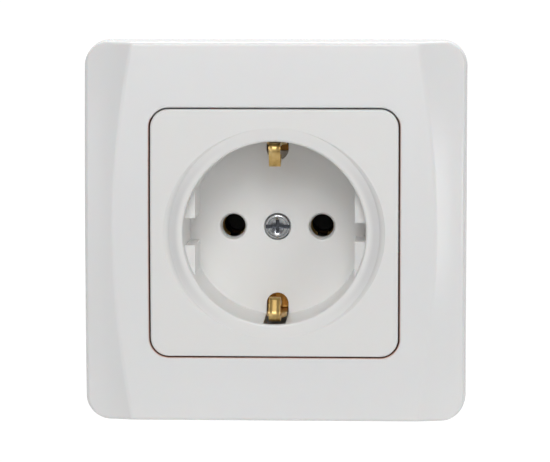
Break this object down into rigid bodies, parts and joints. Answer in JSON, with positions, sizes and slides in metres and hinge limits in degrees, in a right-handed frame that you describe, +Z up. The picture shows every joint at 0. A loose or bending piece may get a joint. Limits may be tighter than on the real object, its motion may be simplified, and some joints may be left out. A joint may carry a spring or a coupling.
{
  "type": "wall socket",
  "caption": "Flush earthed wall socket: white swept cover frame and round plug well in front of a support plate and contact base with screw terminals.",
  "frame": {"origin": "middle of the wall box screw pattern, on the wall's surface", "axes": "+Y into the wall along the fixing screws, +X to the right seen from the room, +Z up"},
  "size_m": [0.0804, 0.0438, 0.0804],
  "materials": {
    "white_cover": "gloss",
    "white_insert": "satin gloss",
    "zinc_steel": "bright zinc plate",
    "brass": "bright stamped brass",
    "grey_plastic": "matt moulded"
  },
  "bodies": {
    "root": {"cover_frame": "white_cover", "socket_insert": "white_insert", "cover_screw": "zinc_steel", "support_plate": "zinc_steel", "plate_rivet_lower_left": "zinc_steel", "plate_rivet_upper_left": "zinc_steel", "plate_rivet_lower_right": "zinc_steel", "plate_rivet_upper_right": "zinc_steel", "line_terminal_screw": "zinc_steel", "neutral_terminal_screw": "zinc_steel", "earth_terminal_screw": "zinc_steel", "rear_cover_screw_left": "zinc_steel", "rear_cover_screw_right": "zinc_steel", "earth_bracket": "brass", "line_contact": "brass", "neutral_contact": "brass", "line_terminal": "brass", "neutral_terminal": "brass", "earth_terminal": "brass", "contact_base": "grey_plastic", "rear_cover": "grey_plastic"}
  },
  "joints": []
}
